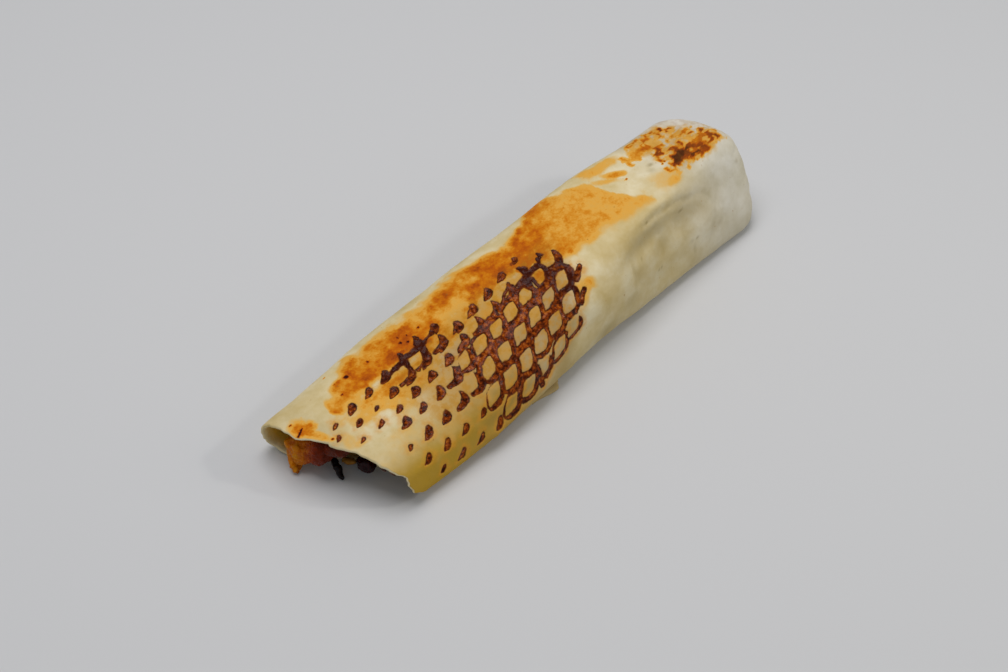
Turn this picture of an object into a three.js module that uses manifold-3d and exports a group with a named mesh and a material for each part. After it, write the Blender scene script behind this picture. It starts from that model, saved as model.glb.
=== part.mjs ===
// A shawarma wrap: one thin flatbread rolled round its filling, tucked shut at one end and open at
// the other, where pieces of the filling show in a slanted mouth.
// Millimetres. X runs along the wrap from the open mouth (-X) to the shut end (+X), Y across it and
// Z up. The origin is on the floor, under the middle of the wrap.
import * as THREE from "three";
import { mergeVertices } from "three/addons/utils/BufferGeometryUtils.js";
import Module from "manifold-3d";

// Sizes that drive the shape
const BREAD_THICK = 1.9;
const GAP = 0.35; // between the bread and its filling, and round each loose piece
const ROOM_FROM = -45; // the space inside the bread is drawn out to here, past the mouth
const ROLL_SHIFT = { along: -105.6, across: -30.05 }; // puts the middle of the wrap over the origin
const FLOOR_PRESS = 0.5; // how much of the round underside its weight presses flat
// The patch of the underside that bears the weight, lower than the rest of it by its depth
const REST = { from: 22, to: 190, right: 14, left: 44, deep: 0.4 };
const END_AT = 242; // where the shut end lies along the roll
const END_ROUND = 20; // how far from the end the bread begins to close in
const END_POWER = 3.2; // 2 is a round end, more is a blunter one
const END_NOSE = 15; // the end reaches furthest at this place across the roll
const END_SLANT = 0.012; // and falls back with the square of the distance from it
const SLANT_FROM = 150;

// The roll's cross-section at stations along it. A section is a rounded four-sided shape: how far
// its right and left sides reach at the floor and at the top, its height, and how square each
// corner is (2 is an ellipse, 6 nearly a box).
const STATIONS = {
  along: [-32, 0, 40, 80, 120, 160, 200, 240],
  rightLow: [-7, -9, -10, -7, -3.2, -4, -4, -5],
  leftLow: [65, 66, 69, 67, 60.5, 59, 54, 53],
  rightTop: [0, 0, -1, -2, 1, 7, 14, 20],
  leftTop: [63, 64, 67, 66, 61.5, 60, 55, 54],
  height: [26, 29, 32.5, 39, 45, 47.5, 48.5, 48.5],
  squareRight: [2.3, 2.7, 2.6, 2.2, 2.8, 4, 5.2, 6],
  squareLeft: [2.5, 2.6, 2.7, 2.6, 3, 4, 5, 6],
  squareLow: [4, 4, 4, 4, 4.4, 4.7, 5, 5],
};

// The torn front edge of the bread, as the place along the roll at each angle round the section
// (0 left, 90 top, 180 right, 270 underneath)
const MOUTH = [
  [0, -30.2], [36, -29.5], [60, -28.9], [71, -29.2], [77, -26.8], [94, -21.6], [97, -22.6],
  [117, -16.8], [137, -13.7], [149, -11.3], [165, -7.1], [180, -7.4], [201, -5.5], [215, 0.5],
  [225, 2], [240, 3], [250, 2], [262, -3], [270, -5], [280, -9], [292, -15], [300, -21],
  [306, -24.5], [329, -28],
];

// Soft dents (minus) and swellings (plus) pressed into the bread: place along the roll, angle
// round it, depth, and how far each spreads along and round
const DENTS = [
  { along: 158, angle: 147, deep: -2.6, spread: 17, turn: 12 },
  { along: 181, angle: 156, deep: -1.8, spread: 11, turn: 14 },
  { along: 130, angle: 172, deep: 1.4, spread: 16, turn: 18 },
  { along: 196, angle: 182, deep: 1.3, spread: 15, turn: 16 },
  { along: 212, angle: 152, deep: -1.2, spread: 9, turn: 16 },
  { along: 226, angle: 176, deep: -1, spread: 6, turn: 22 },
  { along: 168, angle: 200, deep: -1.1, spread: 14, turn: 12 },
  { along: 104, angle: 176, deep: -1, spread: 12, turn: 14 },
  { along: 186, angle: 74, deep: -0.9, spread: 16, turn: 16 },
  { along: 214, angle: 88, deep: -0.8, spread: 8, turn: 12 },
  { along: 60, angle: 30, deep: -1, spread: 20, turn: 18 },
  { along: 120, angle: 14, deep: 1.2, spread: 18, turn: 20 },
  { along: 176, angle: 10, deep: -1.6, spread: 15, turn: 18 },
  { along: 10, angle: 150, deep: -0.8, spread: 14, turn: 14 },
];

// The bread's free outer edge, which lies along the lower right side and stands out by a layer
const FLAP = { from: 34, to: 84, fade: 8, angle: 203, rise: 4, turn: 14, thick: 1.3 };
// The corner of the layer under it, which pokes out on the floor where the edge ends
const TAB = { root: 72, tip: 88.5, end: 92, reach: 3.6, thick: 1.4 };
// The tuck that shuts the end: the top is folded down over the bottom along this line
const TUCK = { height: 0.42, slope: 0.16, deep: 1.7, soft: 1.1, from: 0.45 };

// How finely the bread is divided: round the roll, then along it from the front edge to where the
// even rows start, from there to where the end closes in, and on to the end
const COLUMNS = 48;
const EVEN_FROM = 14;
const OUTER_ROWS = { front: 7, even: 28, end: 10 };
const INNER_ROWS = { front: 4, even: 16, end: 8 };

const COLOURS = {
  bread: 0xe6cf9d, filling: 0x4a2413, chicken: 0xb4581d, fry: 0xc69a5c, onion: 0x1f1412,
  beet: 0x35100f, sliver: 0x6f5348,
};

const degrees = THREE.MathUtils.degToRad;
const wasm = await Module();
wasm.setup();

// A smooth curve through the points (at[i], value[i]), level with their slopes
function smoothAt(place, at, value) {
  const last = at.length - 1;
  const x = THREE.MathUtils.clamp(place, at[0], at[last]);
  let i = 0;
  while (i < last - 1 && x > at[i + 1]) i += 1;
  const slope = (k) => (value[k + 1] - value[k]) / (at[k + 1] - at[k]);
  const tangent = (k) => {
    if (k === 0) return slope(0);
    if (k === last) return slope(last - 1);
    const before = at[k] - at[k - 1];
    const after = at[k + 1] - at[k];
    return (slope(k - 1) * after + slope(k) * before) / (before + after);
  };
  const span = at[i + 1] - at[i];
  const t = (x - at[i]) / span;
  return (
    (2 * t ** 3 - 3 * t ** 2 + 1) * value[i] +
    (t ** 3 - 2 * t ** 2 + t) * span * tangent(i) +
    (3 * t ** 2 - 2 * t ** 3) * value[i + 1] +
    (t ** 3 - t ** 2) * span * tangent(i + 1)
  );
}

const station = (name, along) => smoothAt(along, STATIONS.along, STATIONS[name]);

// Where the front edge lies at an angle round the roll, in straight runs between its points
function mouthAt(angle) {
  const turn = ((angle % 360) + 360) % 360;
  const points = [...MOUTH, [360, MOUTH[0][1]]];
  const next = points.findIndex(([at]) => at > turn);
  const [fromAngle, from] = points[next - 1];
  const [toAngle, to] = points[next];
  return from + ((to - from) * (turn - fromAngle)) / (toAngle - fromAngle);
}

// The shortest way round from one angle to another, in degrees
function turnBetween(angle, other) {
  return ((((angle - other) % 360) + 540) % 360) - 180;
}

// A point on the smooth roll at a place along it and an angle round it
function rollPoint(along, angle) {
  const cos = Math.cos(degrees(angle));
  const sin = Math.sin(degrees(angle));
  const rightward = 0.5 - 0.5 * Math.tanh(3 * cos);
  const downward = 0.5 - 0.5 * Math.tanh(6 * sin);
  const upper = THREE.MathUtils.lerp(
    station("squareLeft", along), station("squareRight", along), rightward);
  const square = THREE.MathUtils.lerp(upper, station("squareLow", along), downward);
  const reach = (Math.abs(cos) ** square + Math.abs(sin) ** square) ** (-1 / square);
  const up = (reach * sin + 1) / 2;
  const right = THREE.MathUtils.lerp(station("rightLow", along), station("rightTop", along), up);
  const left = THREE.MathUtils.lerp(station("leftLow", along), station("leftTop", along), up);
  const height = station("height", along);
  const middle = (station("rightLow", along) + station("rightTop", along) +
    station("leftLow", along) + station("leftTop", along)) / 4;
  const closing = THREE.MathUtils.clamp((along - END_AT + END_ROUND) / END_ROUND, 0, 1);
  const open = (1 - closing ** END_POWER) ** (1 / END_POWER);
  const flatAcross = (right + left) / 2 + ((left - right) / 2) * reach * cos;
  const across = middle + (flatAcross - middle) * open;
  const high = height / 2 + (up * height - height / 2) * open;
  const slanting = THREE.MathUtils.smoothstep(along, SLANT_FROM, END_AT);
  const slanted = along - slanting * END_SLANT * (across - END_NOSE) ** 2;
  return new THREE.Vector3(slanted, across, high);
}

// The way out from the smooth roll
function rollNormal(along, angle) {
  const back = Math.min(along, END_AT - 0.3);
  const alongStep = rollPoint(back + 0.1, angle).sub(rollPoint(back - 0.4, angle));
  const turnStep = rollPoint(back, angle + 0.5).sub(rollPoint(back, angle - 0.5));
  return turnStep.cross(alongStep).normalize();
}

// How far dents, swellings, the free edge and the tuck move the surface outward
function relief(along, angle, point) {
  let out = 0;
  for (const dent of DENTS) {
    const away = (along - dent.along) / dent.spread;
    const round = turnBetween(angle, dent.angle) / dent.turn;
    out += dent.deep * Math.exp(-away * away - round * round);
  }
  const edge = FLAP.angle + FLAP.rise * Math.sin(along / 17);
  const pastEdge = turnBetween(edge, angle);
  if (pastEdge > 0 && pastEdge < 90) {
    const level = 1 - THREE.MathUtils.smoothstep(pastEdge, 0, FLAP.turn);
    const start = THREE.MathUtils.smoothstep(along, FLAP.from, FLAP.from + FLAP.fade);
    const stop = 1 - THREE.MathUtils.smoothstep(along, FLAP.to - FLAP.fade, FLAP.to);
    out += FLAP.thick * level * start * stop;
  }
  const closed = THREE.MathUtils.smoothstep(along, END_AT - END_ROUND * TUCK.from, END_AT - 1);
  const line = station("height", along) * (TUCK.height + TUCK.slope * (point.y / 60 - 0.5));
  const below = THREE.MathUtils.smoothstep(line - point.z, -TUCK.soft, TUCK.soft);
  return out - TUCK.deep * closed * below;
}

// A point on the bread, sunk below its outer face by a depth, with the underside pressed flat
function breadPoint(along, angle, deep) {
  const point = rollPoint(along, angle);
  const out = relief(along, angle, point) - deep;
  point.addScaledVector(rollNormal(along, angle), out);
  point.z = Math.max(point.z - FLOOR_PRESS, REST.deep + deep);
  return point;
}

// A closed surface from rings of points, each ring as long as the next, with a point at each end
function skin(first, rings, last) {
  const count = rings[0].length;
  const points = [first, ...rings.flat(), last];
  const at = (ring, column) => 1 + ring * count + (column % count);
  const faces = [];
  for (let column = 0; column < count; column += 1) {
    faces.push(0, at(0, column), at(0, column + 1));
    for (let ring = 0; ring < rings.length - 1; ring += 1) {
      faces.push(at(ring, column), at(ring + 1, column), at(ring, column + 1));
      faces.push(at(ring, column + 1), at(ring + 1, column), at(ring + 1, column + 1));
    }
    const end = rings.length - 1;
    faces.push(at(end, column), points.length - 1, at(end, column + 1));
  }
  const geometry = new THREE.BufferGeometry().setFromPoints(points);
  geometry.setIndex(faces);
  return geometry;
}

// A geometry as a solid for joining and cutting, facing out whichever way its rings ran
function solidOf(geometry) {
  const bare = geometry.clone();
  bare.deleteAttribute("normal");
  bare.deleteAttribute("uv");
  const merged = mergeVertices(bare, 1e-4);
  const build = (triVerts) => new wasm.Manifold(new wasm.Mesh({
    numProp: 3, vertProperties: new Float32Array(merged.attributes.position.array), triVerts,
  }));
  const triangles = new Uint32Array(merged.index.array);
  const solid = build(triangles);
  if (solid.volume() > 0) return solid;
  for (let i = 0; i < triangles.length; i += 3) {
    [triangles[i + 1], triangles[i + 2]] = [triangles[i + 2], triangles[i + 1]];
  }
  return build(triangles);
}

function geometryOf(solid) {
  const mesh = solid.getMesh();
  const geometry = new THREE.BufferGeometry();
  const positions = new Float32Array(mesh.vertProperties);
  geometry.setAttribute("position", new THREE.BufferAttribute(positions, 3));
  geometry.setIndex(new THREE.BufferAttribute(new Uint32Array(mesh.triVerts), 1));
  geometry.computeVertexNormals();
  return geometry;
}

const everyAngle = (count) => Array.from({ length: count }, (_, i) => (360 * i) / count);

// Places along the roll from a start to its shut end, closer together where the end rounds off
function places(start, rows) {
  const turn = END_AT - END_ROUND;
  const run = (from, to, count) =>
    Array.from({ length: count }, (_, i) => from + ((to - from) * i) / count);
  const round = run(0, Math.PI / 2, rows.end).map((lean) =>
    turn + END_ROUND * Math.sin(lean));
  return [...run(start, EVEN_FROM, rows.front), ...run(EVEN_FROM, turn, rows.even), ...round];
}

// Rings of bread points from a line round the roll to the shut end
function wallRings(rows, deep, startAt) {
  const columns = everyAngle(COLUMNS).map((angle) =>
    places(startAt(angle), rows).map((along) => breadPoint(along, angle, deep)));
  return columns[0].map((_, row) => columns.map((column) => column[row]));
}

function shutPoint(deep) {
  const point = rollPoint(END_AT, 90);
  point.x -= deep;
  point.z -= FLOOR_PRESS;
  return point;
}

// The bread: its outer wall, the torn edge, and the inner wall back to the shut end
function breadGeometry() {
  const outer = wallRings(OUTER_ROWS, 0, mouthAt);
  const inner = wallRings(INNER_ROWS, BREAD_THICK, mouthAt);
  const shell = solidOf(skin(shutPoint(0), [...outer.reverse(), ...inner], shutPoint(BREAD_THICK)));
  const patch = new THREE.BoxGeometry(
    REST.to - REST.from, REST.left - REST.right, BREAD_THICK);
  patch.translate((REST.from + REST.to) / 2, (REST.left + REST.right) / 2, BREAD_THICK / 2);
  return geometryOf(shell.add(solidOf(patch)).add(solidOf(tabGeometry())));
}

// The thin corner of bread that lies on the floor beside the roll
function tabGeometry() {
  const foot = (along) => breadPoint(along, 222, 0).y;
  const outline = new THREE.Shape();
  outline.moveTo(TAB.root, foot(TAB.root) + 4);
  outline.lineTo(TAB.root, foot(TAB.root) + 0.6);
  outline.quadraticCurveTo(TAB.tip - 5, foot(TAB.tip) - 1, TAB.tip, foot(TAB.tip) - TAB.reach);
  outline.lineTo(TAB.end, foot(TAB.end) + 1);
  outline.lineTo(TAB.end, foot(TAB.end) + 5);
  const plate = { depth: TAB.thick, bevelEnabled: false, curveSegments: 4 };
  return new THREE.ExtrudeGeometry(outline, plate).translate(0, 0, REST.deep);
}

// The core of the filling, which runs from behind the mouth to the shut end
const CORE_FRONT = [
  [0, -12], [60, -12], [100, -3], [140, 0], [170, 2], [200, 4], [240, 5], [262, 1], [280, -4],
  [300, -13], [320, -14],
];
const CORE_LUMPS = [
  { along: 6, across: 8, high: 10, size: 6 },
  { along: 3, across: 16, high: 17, size: 5.5 },
  { along: 1, across: 25, high: 11, size: 7 },
  { along: -5, across: 34, high: 16, size: 5.5 },
  { along: -11, across: 44, high: 10, size: 6 },
  { along: -13, across: 53, high: 14, size: 6 },
];

function coreFrontAt(angle) {
  const turn = ((angle % 360) + 360) % 360;
  const at = [...CORE_FRONT.map((point) => point[0]), 360];
  const value = [...CORE_FRONT.map((point) => point[1]), CORE_FRONT[0][1]];
  return smoothAt(turn, at, value);
}

function coreSolid() {
  const deep = BREAD_THICK + GAP;
  const rings = wallRings(INNER_ROWS, deep, coreFrontAt);
  const middle = new THREE.Vector3();
  rings[0].forEach((point) => middle.addScaledVector(point, 1 / COLUMNS));
  const middleRing = rings[0].map((point) => point.clone().lerp(middle, 0.5));
  return solidOf(skin(middle, [middleRing, ...rings], shutPoint(deep)));
}

// A seeded draw, so that every build gives the same lumps
function drawFrom(seed) {
  let state = seed;
  return () => {
    state = (state * 16807) % 2147483647;
    return state / 2147483647;
  };
}

// A lumpy closed body: a ball stretched to its half sizes, its surface raised and sunk in soft waves
function lumpGeometry({ half, rough, seed, grow = 0, rings = 12, columns = 16, square = 2.4 }) {
  const draw = drawFrom(seed);
  const waves = Array.from({ length: 7 }, () => ({
    way: new THREE.Vector3(draw() - 0.5, draw() - 0.5, draw() - 0.5).normalize(),
    pace: 2.5 + 4.5 * draw(),
    phase: 6.28 * draw(),
  }));
  const body = new THREE.SphereGeometry(1, columns, rings);
  const position = body.attributes.position;
  const point = new THREE.Vector3();
  for (let i = 0; i < position.count; i += 1) {
    point.fromBufferAttribute(position, i);
    const swell = waves.reduce((sum, wave) =>
      sum + Math.sin(wave.pace * point.dot(wave.way) + wave.phase), 0) / waves.length;
    const blunt = (Math.abs(point.x) ** square + Math.abs(point.y) ** square +
      Math.abs(point.z) ** square) ** (-1 / square);
    point.multiplyScalar(blunt * (1 + rough * swell));
    position.setXYZ(
      i, point.x * (half[0] + grow), point.y * (half[1] + grow), point.z * (half[2] + grow));
  }
  return body;
}

// A body laid at a place on the roll, turned by the angles about X, Y and Z
function laid(geometry, place, turn = [0, 0, 0]) {
  const way = new THREE.Euler(...turn.map(degrees), "ZYX");
  const spin = new THREE.Quaternion().setFromEuler(way);
  const size = new THREE.Vector3(1, 1, 1);
  return geometry.applyMatrix4(new THREE.Matrix4().compose(new THREE.Vector3(...place), spin, size));
}

// A strip with an oval section that follows a curve and tapers to both ends
function stripGeometry({ points, wide, thick, grow = 0, blunt = 0.5, rings = 12, columns = 10 }) {
  const curve = new THREE.CatmullRomCurve3(points.map((place) => new THREE.Vector3(...place)));
  const frames = curve.computeFrenetFrames(rings, false);
  const loops = [];
  for (let i = 1; i < rings; i += 1) {
    const t = i / rings;
    const fat = Math.sin(Math.PI * t) ** blunt;
    const centre = curve.getPointAt(t);
    loops.push(everyAngle(columns).map((angle) => centre.clone()
      .addScaledVector(frames.normals[i], (0.5 * wide * fat + grow) * Math.cos(degrees(angle)))
      .addScaledVector(
        frames.binormals[i], (0.5 * thick * fat + grow) * Math.sin(degrees(angle)))));
  }
  return skin(curve.getPointAt(0), loops, curve.getPointAt(1));
}

// The space inside the bread, clear of it, drawn out past the mouth
function roomSolid() {
  const deep = BREAD_THICK + 2 * GAP;
  const front = rollPoint(ROOM_FROM, 90).setX(ROOM_FROM - 1).setZ(12);
  return solidOf(skin(front, wallRings(INNER_ROWS, deep, () => ROOM_FROM), shutPoint(deep)));
}

const room = roomSolid();

// The pieces that show in the mouth, each as a solid that can be grown a little all round
const PIECES = {
  // the big piece of chicken that fills the left of the mouth, with a point that hangs to the floor
  chicken_piece: {
    colour: "chicken", roughness: 0.45,
    shape: (grow) => {
      const slab = [
        { at: [-23, 46, 12.4], half: [5.6, 7.4, 8.4], lean: 0, rough: 0.16 },
        { at: [-21, 38.5, 15.2], half: [5.6, 7.8, 6.6], lean: -22, rough: 0.12 },
        { at: [-17.2, 30.5, 19.6], half: [5.4, 8.6, 3.6], lean: -22, rough: 0.06 },
      ];
      const point = stripGeometry({
        points: [[-23, 49, 11], [-25.6, 47.4, 7], [-27.8, 44.8, 3], [-28.8, 43.2, 0.5]],
        wide: 7.4, thick: 4.4, grow, blunt: 0.7,
      });
      return slab
        .map(({ at, half, lean, rough }, i) => solidOf(laid(
          lumpGeometry({ half, grow, rough, seed: 7 + i, rings: 13, columns: 18, square: 2.8 }),
          at, [lean, 0, 0])))
        .reduce((whole, lump) => whole.add(lump))
        .intersect(room)
        .add(solidOf(point));
    },
  },
  onion_strip: {
    colour: "onion", roughness: 0.25,
    shape: (grow) => solidOf(stripGeometry({
      points: [[-13.5, 37, 5], [-15.3, 34, 4.8], [-16.8, 30, 3.4], [-17.9, 26.4, 1.1]],
      wide: 3.2, thick: 2.6, grow, blunt: 0.4,
    })),
  },
  fry_strip: {
    colour: "fry", roughness: 0.6,
    shape: (grow) => solidOf(stripGeometry({
      points: [[-11.4, 33.8, 3], [-10.3, 30.9, 3.2], [-8.6, 27.8, 3.6]],
      wide: 3.2, thick: 3, grow, blunt: 0.25, rings: 10,
    })),
  },
  beet_chunk: {
    colour: "beet", roughness: 0.3,
    shape: (grow) => solidOf(laid(
      lumpGeometry({ half: [3.6, 4.2, 3.4], grow, rough: 0.2, seed: 5, rings: 10, columns: 12 }),
      [-7.6, 22.3, 6.4], [20, 10, 25])),
  },
  onion_sliver: {
    colour: "sliver", roughness: 0.4,
    shape: (grow) => solidOf(stripGeometry({
      points: [[-2.6, 18.6, 4.7], [-4, 16.6, 5], [-4, 14, 4.7]],
      wide: 2, thick: 1.1, grow, blunt: 0.4, rings: 9, columns: 8,
    })),
  },
  onion_sliver_far: {
    colour: "sliver", roughness: 0.4,
    shape: (grow) => solidOf(stripGeometry({
      points: [[-2.8, 13, 7.6], [-4, 11, 7.2], [-3.8, 8.6, 6.2]],
      wide: 1.8, thick: 1.1, grow, blunt: 0.4, rings: 9, columns: 8,
    })),
  },
};

// The filling: the core and the lumps that stand out of its front, less room for the loose pieces
function fillingGeometry() {
  let heap = coreSolid();
  CORE_LUMPS.forEach((lump, i) => {
    const half = [lump.size, lump.size * 1.1, lump.size * 0.9];
    const body = lumpGeometry({ half, rough: 0.16, seed: 31 + i, rings: 8, columns: 10 });
    const placed = laid(body, [lump.along, lump.across, lump.high], [20 * i, 35 * i, 0]);
    heap = heap.add(solidOf(placed).intersect(room));
  });
  Object.values(PIECES).forEach((piece) => {
    heap = heap.subtract(piece.shape(GAP));
  });
  return geometryOf(heap);
}

function meshOf(name, geometry, colour, roughness) {
  const material = new THREE.MeshStandardMaterial({
    color: COLOURS[colour], roughness, metalness: 0, flatShading: true,
  });
  const mesh = new THREE.Mesh(geometry, material);
  mesh.name = name;
  return mesh;
}

const wrap = new THREE.Group();
wrap.position.set(ROLL_SHIFT.along, ROLL_SHIFT.across, 0);
wrap.add(meshOf("bread", breadGeometry(), "bread", 0.75));
wrap.add(meshOf("filling", fillingGeometry(), "filling", 0.6));
for (const [name, piece] of Object.entries(PIECES)) {
  wrap.add(meshOf(name, geometryOf(piece.shape(0)), piece.colour, piece.roughness));
}

export default wrap;
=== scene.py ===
"""The shawarma wrap: a griddled flatbread rolled round its filling, shut at one end and open at the other.

Metres in the scene, millimetres in the tables here. X runs along the wrap from its open mouth to its
shut end, Y across it and Z up. A place on the bread is a place along the roll and an angle round it:
0 degrees is the left side, 90 the top, 180 the right side and 270 underneath.
"""
import math

import bpy
import numpy as np
from mathutils import Matrix, Vector


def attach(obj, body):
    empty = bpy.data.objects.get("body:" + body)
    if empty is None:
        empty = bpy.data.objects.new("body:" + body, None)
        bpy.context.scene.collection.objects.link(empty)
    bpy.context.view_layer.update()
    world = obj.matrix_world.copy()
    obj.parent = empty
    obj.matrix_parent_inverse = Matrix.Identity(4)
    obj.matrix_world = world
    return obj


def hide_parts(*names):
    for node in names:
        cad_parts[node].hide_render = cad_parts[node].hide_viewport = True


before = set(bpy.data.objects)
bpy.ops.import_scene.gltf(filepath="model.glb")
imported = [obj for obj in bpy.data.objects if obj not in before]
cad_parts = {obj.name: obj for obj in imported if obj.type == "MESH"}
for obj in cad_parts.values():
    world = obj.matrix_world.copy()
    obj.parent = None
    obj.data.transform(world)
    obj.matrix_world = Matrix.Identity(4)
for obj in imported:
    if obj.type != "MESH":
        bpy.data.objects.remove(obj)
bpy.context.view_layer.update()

MM = 0.001
SHIFT = np.array([-105.6, -30.05, 0.0])  # from the measure of the tables to the frame

# The camera, in mm
LOOK_AT = np.array([93.19, 36.13, 0.0]) + SHIFT
AZIMUTH = math.radians(-47.57)
ELEVATION = math.radians(46.0)
ROLL = math.radians(1.18)
DISTANCE = 908.2
LENS = 70.44
SENSOR = 36.0

# The roll's section at stations along it: its sides at the floor and at the top, its height, and how
# square its corners are (2 is an ellipse, 6 nearly a box)
STATIONS_AT = [-32, 0, 40, 80, 120, 160, 200, 240]
STATIONS = {
    "right_low": [-7, -9, -10, -7, -3.2, -4, -4, -5],
    "left_low": [65, 66, 69, 67, 60.5, 59, 54, 53],
    "right_top": [0, 0, -1, -2, 1, 7, 14, 20],
    "left_top": [63, 64, 67, 66, 61.5, 60, 55, 54],
    "height": [26, 29, 32.5, 39, 45, 47.5, 48.5, 48.5],
    "square_right": [2.3, 2.7, 2.6, 2.2, 2.8, 4, 5.2, 6],
    "square_left": [2.5, 2.6, 2.7, 2.6, 3, 4, 5, 6],
    "square_low": [4, 4, 4, 4, 4.4, 4.7, 5, 5],
}
CORNER_BLEND = {"side": 3, "low": 6}  # how sharply squareness changes between corners
END_AT = 242.0
END_ROUND = 20.0  # the length over which the end closes
END_POWER = 3.2  # how blunt it is
END_NOSE = 15.0  # where across the roll the end reaches farthest
END_SLANT = 0.012  # how fast it falls back from there, per mm
SLANT_FROM = 150.0
FLOOR_PRESS = 0.5  # how much the floor presses flat
BREAD_THICK = 1.7

# The torn front edge: angle round the roll, place along it
MOUTH = [
    (0, -30.2), (36, -29.5), (60, -28.9), (71, -29.2), (77, -26.8), (94, -21.6), (97, -22.6),
    (117, -16.8), (137, -13.7), (149, -11.3), (165, -7.1), (180, -7.4), (201, -5.5), (215, 0.5),
    (225, 2), (240, 3), (250, 2), (262, -3), (270, -5), (280, -9), (292, -15), (300, -21),
    (306, -24.5), (329, -28), (360, -30.2),
]
TEARS = ((23, 0, 0.16), (41, 50, 0.12))  # how often round the roll, phase in degrees, depth

# Soft dents and swellings: along, angle, depth outward, spread along, spread round
DENTS = [
    (158, 147, -2.6, 17, 12), (181, 156, -1.8, 11, 14), (130, 172, 1.4, 16, 18), (196, 182, 1.3, 15, 16),
    (212, 152, -1.2, 9, 16), (226, 176, -1, 6, 22), (168, 200, -1.1, 14, 12), (240, 118, -1.8, 11, 30),
    (104, 176, -1, 12, 14), (186, 74, -0.9, 16, 16), (214, 88, -0.8, 8, 12), (60, 30, -1, 20, 18),
    (120, 14, 1.2, 18, 20), (176, 10, -1.6, 15, 18), (10, 150, -0.8, 14, 14),
]
# The bread's free outer edge, a layer proud low on the right: where along it and past it the layer
# fades in and out, its angle, and how high and long its waves are
FLAP = {"along": (34, 42, 76, 84), "angle": 203, "waves": ((4, 17), (1.2, 5.1)),
        "past": (-0.6, 0.6, 4, 24), "thick": 1.3}
# The thin corner on the floor where that edge ends
TAB = {"root": 71, "tip": 86, "end": 89.5, "reach": 2.4, "thick": 1.4,
       "angle": 222, "under": 3.5, "tucked": 0.6, "wave": 0.15, "fine": (26, 7)}
# The tuck that shuts the end: the top is folded down over the bottom
TUCK = {"height": 0.42, "slope": 0.16, "wide": 60, "deep": 1.7, "soft": 1.1, "from": 0.45}

# The griddle's cells, row by row: the first one's place along the roll, their spacing, how far right of
# the top the row lies at each place in LINE_AT, and how hard each was pressed, from 0, no mark, through
# a single dark fleck to 1, a full ring
CELL_ROWS = [
    (-16, 10.83, (-5.7, -8.8, -11.3), (0.2, 0.42, 0.42, 0.5, 0.62, 0.66, 0.5)),
    (-19.2, 10.78, (2.2, -0.8, -9.4),
     (0.24, 0.25, 0.15, 0.42, 0.72, 0.72, 0.66, 0.46, 0.48, 0.44, 0.44, 0.15)),
    (-12.8, 10.82, (9.9, 6.9, 1.3),
     (0.16, 0.27, 0.25, 0.42, 0.38, 0.45, 0.6, 0.64, 0.68, 0.7, 0.72, 0.62)),
    (5.95, 10.48, (16.3, 15.9, 8.4), (0.38, 0.36, 0.45, 0.7, 0.8, 0.9, 1, 1, 1, 1, 0.7)),
    (-0.64, 10.77, (26.4, 25.5, 18.1), (0.08, 0.42, 0.45, 0.6, 0.7, 0.95, 1, 1, 1, 1, 1)),
    (3.7, 10.98, (35.2, 35.4, 27), (0.33, 0.36, 0.36, 0.25, 0.85, 1, 1, 1, 1, 1)),
    (9.2, 11.24, (43.6, 45.6, 36.6), (0.15, 0.42, 0.42, 0.42, 0.9, 1, 0.75, 0.9, 0.7)),
]
LINE_AT = (0, 50, 100)
CELL_HALF = np.array([5.9, 3.35])  # a cell's half length and half width
CELL_POINTED = 1.32  # 2 would be an oval, 1 a diamond
CELL_TILT = math.radians(-34)  # it rises to the right
CELL_SPARED = 1.8  # how far round a faint cell's hollow no mark reaches
FLECK_LEAST = np.array([1.2, 0.9])  # half length and half width of the faintest fleck
FLECK_MOST = np.array([3.9, 1.9])  # and of the strongest single fleck
FLECK_SHIFT = np.array([1.7, 3])  # a fleck lies this far from its cell's middle
FLECK_SWELL = 0.4  # how much thicker its far end is
FLECK_BEND = 16.0  # the larger, the straighter
RING_PAST = np.array([2.2, 2.6])  # how far a full ring reaches past its cell
HEAVY_ACROSS = (-14, -3, 20, 32)  # where the marks are broader, fading in and out
HEAVY_ALONG = (5, 25)
HEAVY_MORE = 0.38
UNMARKED = -9.0  # a mark depth far from any mark

# Dark bars that join marks: along and right of the top at both ends, half width
BARS = [
    (17, -3.4, 31, -4.4, 1.2), (31, -4.4, 43, -4.8, 1.6), (44, -5, 51, -6, 0.7), (78, 8, 90, 0.6, 0.8),
    (78, 8, 98, 3, 0.9), (98.8, -1.8, 98.3, 3.4, 1.2), (98, 3.4, 97.4, 12, 1), (98, 3.6, 107.4, 3, 1),
    (107.8, 0.4, 106.6, 4, 0.8), (106.6, 4, 106.2, 12, 0.9), (94, 5.5, 94.4, 12, 1.5),
    (103.5, 12.6, 113.6, 9.6, 1.1), (56, 11.5, 68, 8.5, 0.6), (72.4, 39, 72.6, 48.5, 1.6),
    (31, -3, 28.6, 0, 1.3), (41.5, -4, 39.6, -0.5, 1.2), (112.6, 20.6, 118, 17.8, 1.5),
    (107.6, 30, 112.4, 26.6, 1.4),
]

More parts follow.
